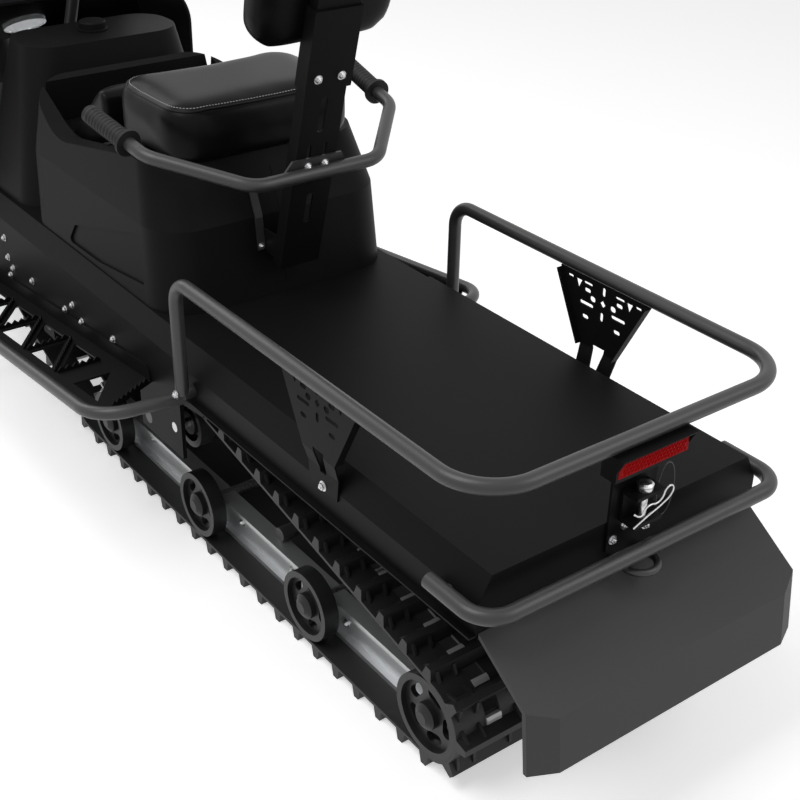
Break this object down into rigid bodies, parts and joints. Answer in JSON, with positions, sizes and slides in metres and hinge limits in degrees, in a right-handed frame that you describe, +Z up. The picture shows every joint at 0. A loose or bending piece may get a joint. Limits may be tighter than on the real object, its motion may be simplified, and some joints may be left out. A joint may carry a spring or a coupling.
{
  "type": "snowmobile",
  "caption": "Long utility snowmobile with a rear cargo deck and load rack, passenger seat with grab bar, rubber track, steered skis and a tilting hood.",
  "frame": {"origin": "centre of the footprint, on the ground", "axes": "+Z up, nose towards -Y, the machine's left side towards +X"},
  "size_m": [1, 3.0302, 1.2349],
  "materials": {
    "painted_sheet": "satin black paint",
    "painted_tube": "matt black powder coat",
    "moulded_plastic": "pebbled black plastic",
    "vinyl": "black vinyl",
    "webbing": "black webbing",
    "track_rubber": "matt rubber",
    "grip_rubber": "ribbed rubber",
    "wheel_plastic": "matt plastic",
    "rail_aluminium": "brushed",
    "bare_steel": "zinc plated",
    "engine_metal": "cast",
    "red_lens": "clear red",
    "lamp_glass": "clear",
    "screen": "tinted clear"
  },
  "bodies": {
    "chassis": {"tunnel": "painted_sheet", "tunnel_extension": "painted_sheet", "rack_frame": "painted_tube", "rack_plates": "painted_sheet", "rear_bumper": "painted_tube", "lamp_bracket": "painted_sheet", "lamp_housing": "moulded_plastic", "lamp_lens": "red_lens", "hitch_bracket": "painted_sheet", "hitch_pin": "bare_steel", "tow_loop": "painted_tube", "snow_flap": "moulded_plastic", "running_boards": "painted_sheet", "board_tubes": "painted_tube", "track": "track_rubber", "skid_rails": "rail_aluminium", "road_wheels": "wheel_plastic", "rear_idlers": "wheel_plastic", "carrier_rollers": "wheel_plastic", "skid_axles": "bare_steel", "drive_axle": "wheel_plastic", "skid_arms": "painted_tube", "shock_absorbers": "painted_tube", "skid_hangers": "painted_sheet", "seat_tub": "moulded_plastic", "passenger_cushion": "vinyl", "driver_cushion": "vinyl", "seat_strap": "webbing", "backrest_post": "painted_sheet", "backrest_pad": "vinyl", "grab_bar": "painted_tube", "grab_grips": "grip_rubber", "tank_cover": "moulded_plastic", "front_beam": "painted_tube", "front_frame": "painted_sheet", "belly_pan": "moulded_plastic", "engine": "engine_metal", "front_bumper": "painted_tube", "hood_hinge": "painted_tube", "column_bracket": "painted_tube"},
    "hood": {"hood": "moulded_plastic", "headlamps": "lamp_glass", "wind_screen": "screen"},
    "handlebar": {"handlebar": "painted_tube", "bar_grips": "grip_rubber", "bar_pad": "moulded_plastic"},
    "ski_leg_left": {"ski_leg_left": "painted_tube"},
    "ski_leg_right": {"ski_leg_right": "painted_tube"},
    "ski_left": {"ski_left": "moulded_plastic"},
    "ski_right": {"ski_right": "moulded_plastic"}
  },
  "joints": [
    {"name": "handlebar_steer", "type": "hinge", "parent": "chassis", "child": "handlebar", "pos_m": [0, -0.548, 0.64], "axis": [0, 0.4384, 0.8988], "range_deg": [-35, 35]},
    {"name": "ski_leg_left_steer", "type": "hinge", "parent": "chassis", "child": "ski_leg_left", "pos_m": [0.42, -0.9, 0.3], "axis": [0, 0, 1], "range_deg": [-28, 28]},
    {"name": "ski_leg_right_steer", "type": "hinge", "parent": "chassis", "child": "ski_leg_right", "pos_m": [-0.42, -0.9, 0.3], "axis": [0, 0, 1], "range_deg": [-28, 28]},
    {"name": "ski_left_pitch", "type": "hinge", "parent": "ski_leg_left", "child": "ski_left", "pos_m": [0.42, -0.9, 0.1], "axis": [1, 0, 0], "range_deg": [-15, 15]},
    {"name": "ski_right_pitch", "type": "hinge", "parent": "ski_leg_right", "child": "ski_right", "pos_m": [-0.42, -0.9, 0.1], "axis": [1, 0, 0], "range_deg": [-15, 15]},
    {"name": "hood_tilt", "type": "hinge", "parent": "chassis", "child": "hood", "pos_m": [0, -1.243, 0.4752], "axis": [1, 0, 0], "range_deg": [0, 55]}
  ],
  "couplings": [
    {"joint": "ski_leg_left_steer", "follows": "handlebar_steer", "ratio": 0.8},
    {"joint": "ski_leg_right_steer", "follows": "handlebar_steer", "ratio": 0.8}
  ]
}
